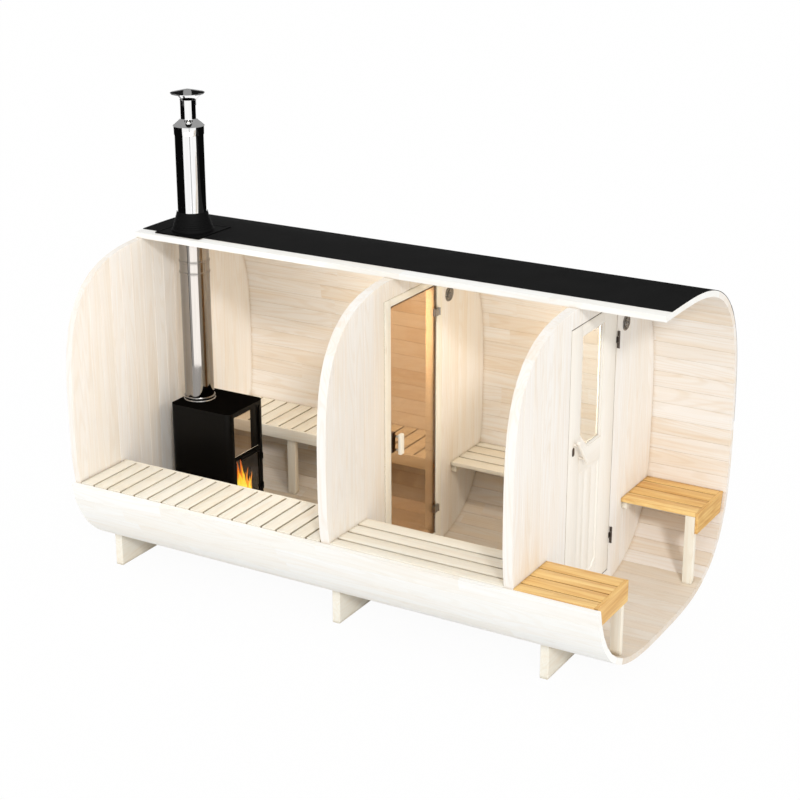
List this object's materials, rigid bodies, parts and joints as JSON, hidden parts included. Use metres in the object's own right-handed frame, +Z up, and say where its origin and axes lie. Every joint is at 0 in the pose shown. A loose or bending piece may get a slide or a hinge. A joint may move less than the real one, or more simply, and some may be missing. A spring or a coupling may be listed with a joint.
{
  "type": "barrel sauna",
  "caption": "Rounded-square barrel sauna of staves on cradles, one side cut away to show a steam room with wood stove, change room and open terrace, with hinged doors and a felt roof.",
  "frame": {"origin": "on the ground, under the middle cradle, on the barrel's centre plane", "axes": "+X along the barrel towards the open terrace, -Y towards the cut-away side, +Z up"},
  "size_m": [4.01, 2.1922, 3.374],
  "materials": {
    "pale_spruce": "planed, untreated",
    "oiled_pine": "planed, oiled",
    "roof_felt": "matt bitumen felt",
    "boot_rubber": "satin",
    "bronze_glass": "tinted, polished",
    "window_glass": "polished",
    "stove_glass": "polished",
    "black_steel": "satin black stove paint",
    "hinge_steel": "dark satin",
    "bright_steel": "polished stainless",
    "vent_plastic": "satin"
  },
  "bodies": {
    "building": {"cradles": "pale_spruce", "shell_floor": "pale_spruce", "shell_front_lower": "pale_spruce", "shell_back_lower": "pale_spruce", "shell_back": "pale_spruce", "shell_back_upper": "pale_spruce", "shell_roof": "pale_spruce", "end_wall": "pale_spruce", "inner_wall_front": "pale_spruce", "inner_wall_back": "pale_spruce", "inner_wall_head_and_sill": "pale_spruce", "inner_door_frame": "pale_spruce", "outer_wall_front": "pale_spruce", "outer_wall_back": "pale_spruce", "outer_wall_head_and_sill": "pale_spruce", "outer_door_frame": "pale_spruce", "steam_bench_front_slats": "pale_spruce", "steam_bench_back_slats": "pale_spruce", "steam_bench_rails": "pale_spruce", "steam_bench_legs": "pale_spruce", "change_bench_front_slats": "pale_spruce", "change_bench_back_slats": "pale_spruce", "change_bench_battens": "pale_spruce", "terrace_bench_legs": "pale_spruce", "terrace_bench_battens": "pale_spruce", "terrace_bench_front_boards": "oiled_pine", "terrace_bench_back_boards": "oiled_pine", "terrace_bench_end_boards": "oiled_pine", "roof_felt": "roof_felt", "roof_boot": "boot_rubber", "stove_upper_glass": "stove_glass", "stove_body": "black_steel", "stove_hinge_brackets": "black_steel", "outer_hinge_brackets": "hinge_steel", "inner_hinge_brackets": "bright_steel", "flue_pipe": "bright_steel", "chimney_pipe": "bright_steel", "chimney_cap": "bright_steel", "inner_vent": "vent_plastic", "outer_vent": "vent_plastic"},
    "glass_door": {"inner_door_glass": "bronze_glass", "inner_door_handle": "pale_spruce", "inner_door_hinges": "bright_steel"},
    "entrance_door": {"outer_door_leaf": "pale_spruce", "outer_door_window": "window_glass", "outer_door_handle": "pale_spruce", "outer_door_lock": "hinge_steel", "outer_door_hinges": "hinge_steel"},
    "fire_door": {"stove_door": "black_steel", "stove_door_glass": "stove_glass"}
  },
  "joints": [
    {"name": "glass_door_hinge", "type": "hinge", "parent": "building", "child": "glass_door", "pos_m": [0.195, 0.3655, 1.2], "axis": [0, 0, 1], "range_deg": [0, 90]},
    {"name": "entrance_door_hinge", "type": "hinge", "parent": "building", "child": "entrance_door", "pos_m": [1.511, 0.406, 1.2], "axis": [0, 0, 1], "range_deg": [0, 90]},
    {"name": "fire_door_hinge", "type": "hinge", "parent": "building", "child": "fire_door", "pos_m": [-1.175, 0.17, 0.57], "axis": [0, 0, 1], "range_deg": [0, 110]}
  ]
}
